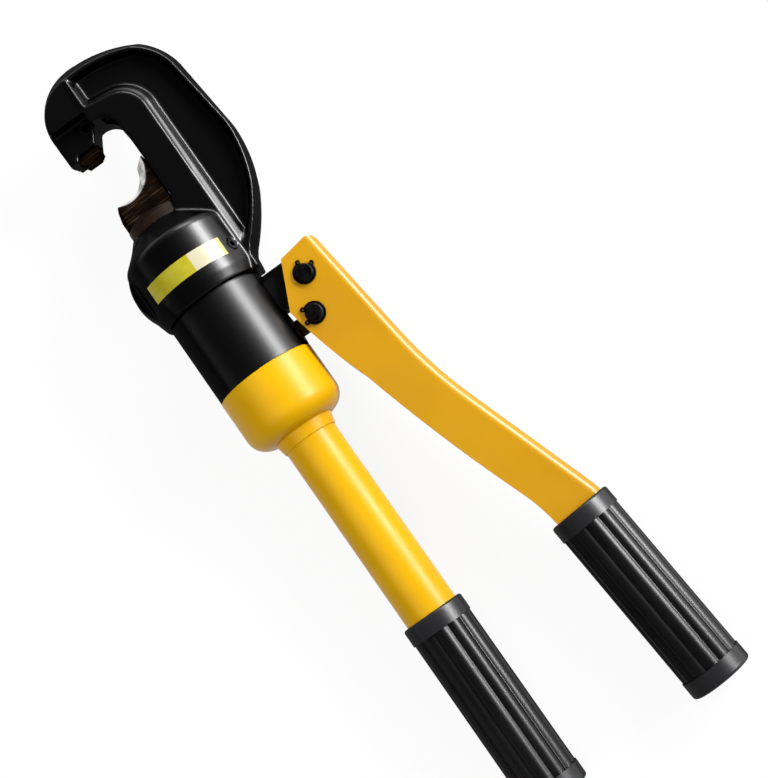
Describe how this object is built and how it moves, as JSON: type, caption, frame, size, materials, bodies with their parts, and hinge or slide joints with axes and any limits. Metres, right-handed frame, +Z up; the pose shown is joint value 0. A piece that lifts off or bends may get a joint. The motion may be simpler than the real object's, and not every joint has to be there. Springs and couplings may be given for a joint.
{
  "type": "hand-pumped hydraulic rebar cutter",
  "caption": "Hand-held rebar cutter: a hooked head with a fixed and a ram-driven blade, a hydraulic cylinder, and a channel lever that pumps oil from the reservoir in its handle.",
  "frame": {"origin": "centre of the fixed grip's end face", "axes": "+Y along the ram from the grip to the head, +X towards the pump lever, +Z up as it lies"},
  "size_m": [0.1565, 0.4696, 0.0648],
  "materials": {
    "yellow_paint": "satin paint",
    "black_paint": "satin paint",
    "grip_plastic": "matte moulding",
    "blade_steel": "oiled tool steel, ground bevel",
    "black_oxide": "black oxide",
    "machined_steel": "turned",
    "spring_steel": "drawn wire",
    "ball_steel": "polished",
    "bush_bronze": "turned",
    "seal_rubber": "matte",
    "label_film": "printed film without print"
  },
  "bodies": {
    "frame": {"fixed_grip": "grip_plastic", "handle_tube": "yellow_paint", "tube_end_plug": "machined_steel", "reservoir_bell": "yellow_paint", "oil_bladder": "seal_rubber", "bladder_clamp_ring": "machined_steel", "bladder_clamp_screws": "machined_steel", "cylinder_body": "black_paint", "bell_seal_ring": "seal_rubber", "lever_pivot_bush": "bush_bronze", "pump_gland_nut": "machined_steel", "plunger_seal": "seal_rubber", "inlet_valve_seat": "machined_steel", "suction_strainer": "machined_steel", "outlet_valve_spring": "spring_steel", "outlet_valve_retainer": "machined_steel", "relief_valve_spring": "spring_steel", "relief_adjusting_screw": "machined_steel", "head": "black_paint", "head_lock_screw": "black_oxide", "ram_guide_screw": "black_oxide", "blank_label": "label_film", "fixed_blade": "blade_steel", "fixed_blade_screw": "black_oxide", "spring_rear_anchor": "machined_steel", "ram_return_spring": "spring_steel"},
    "lever": {"pump_lever": "yellow_paint", "lever_grip": "grip_plastic", "lever_pivot_pin": "black_oxide", "pivot_pin_clips": "black_oxide", "plunger_pin": "black_oxide", "plunger_pin_clips": "black_oxide", "lever_side_washers": "black_oxide"},
    "plunger": {"pump_plunger": "machined_steel"},
    "ram": {"ram": "machined_steel", "ram_seal": "seal_rubber", "ram_seal_backup_ring": "seal_rubber", "moving_blade": "blade_steel", "moving_blade_screw": "black_oxide", "spring_front_anchor": "machined_steel"},
    "release_valve": {"release_screw": "black_oxide"},
    "inlet_ball": {"inlet_check_ball": "ball_steel"},
    "outlet_ball": {"outlet_check_ball": "ball_steel"},
    "relief_ball": {"relief_valve_ball": "ball_steel"}
  },
  "joints": [
    {"name": "lever_swing", "type": "hinge", "parent": "frame", "child": "lever", "pos_m": [0.0487, 0.2965, 0], "axis": [0, 0, 1], "range_deg": [-10, 35]},
    {"name": "plunger_stroke", "type": "slide", "parent": "frame", "child": "plunger", "axis": [1, 0, 0], "range_m": [-0.004, 0.0135]},
    {"name": "ram_stroke", "type": "slide", "parent": "frame", "child": "ram", "axis": [0, 1, 0], "range_m": [0, 0.0314], "stiffness_N_per_m": 1500, "springref_m": -0.03, "deforming": ["ram_return_spring"]},
    {"name": "release_turn", "type": "hinge", "parent": "frame", "child": "release_valve", "pos_m": [-0.02121, 0.286, -0.02121], "axis": [-0.7071, 0, -0.7071], "range_deg": [0, 270]},
    {"name": "inlet_ball_lift", "type": "slide", "parent": "frame", "child": "inlet_ball", "axis": [0, 1, 0], "range_m": [0, 0.0008]},
    {"name": "outlet_ball_lift", "type": "slide", "parent": "frame", "child": "outlet_ball", "axis": [0, 1, 0], "range_m": [0, 0.0005], "stiffness_N_per_m": 150, "springref_m": -0.002, "deforming": ["outlet_valve_spring"]},
    {"name": "relief_ball_lift", "type": "slide", "parent": "frame", "child": "relief_ball", "axis": [0, -1, 0], "range_m": [0, 0.0005], "stiffness_N_per_m": 2000, "springref_m": -0.005, "deforming": ["relief_valve_spring"]}
  ],
  "couplings": [
    {"joint": "plunger_stroke", "follows": "lever_swing", "m_per_rad": 0.0214}
  ]
}
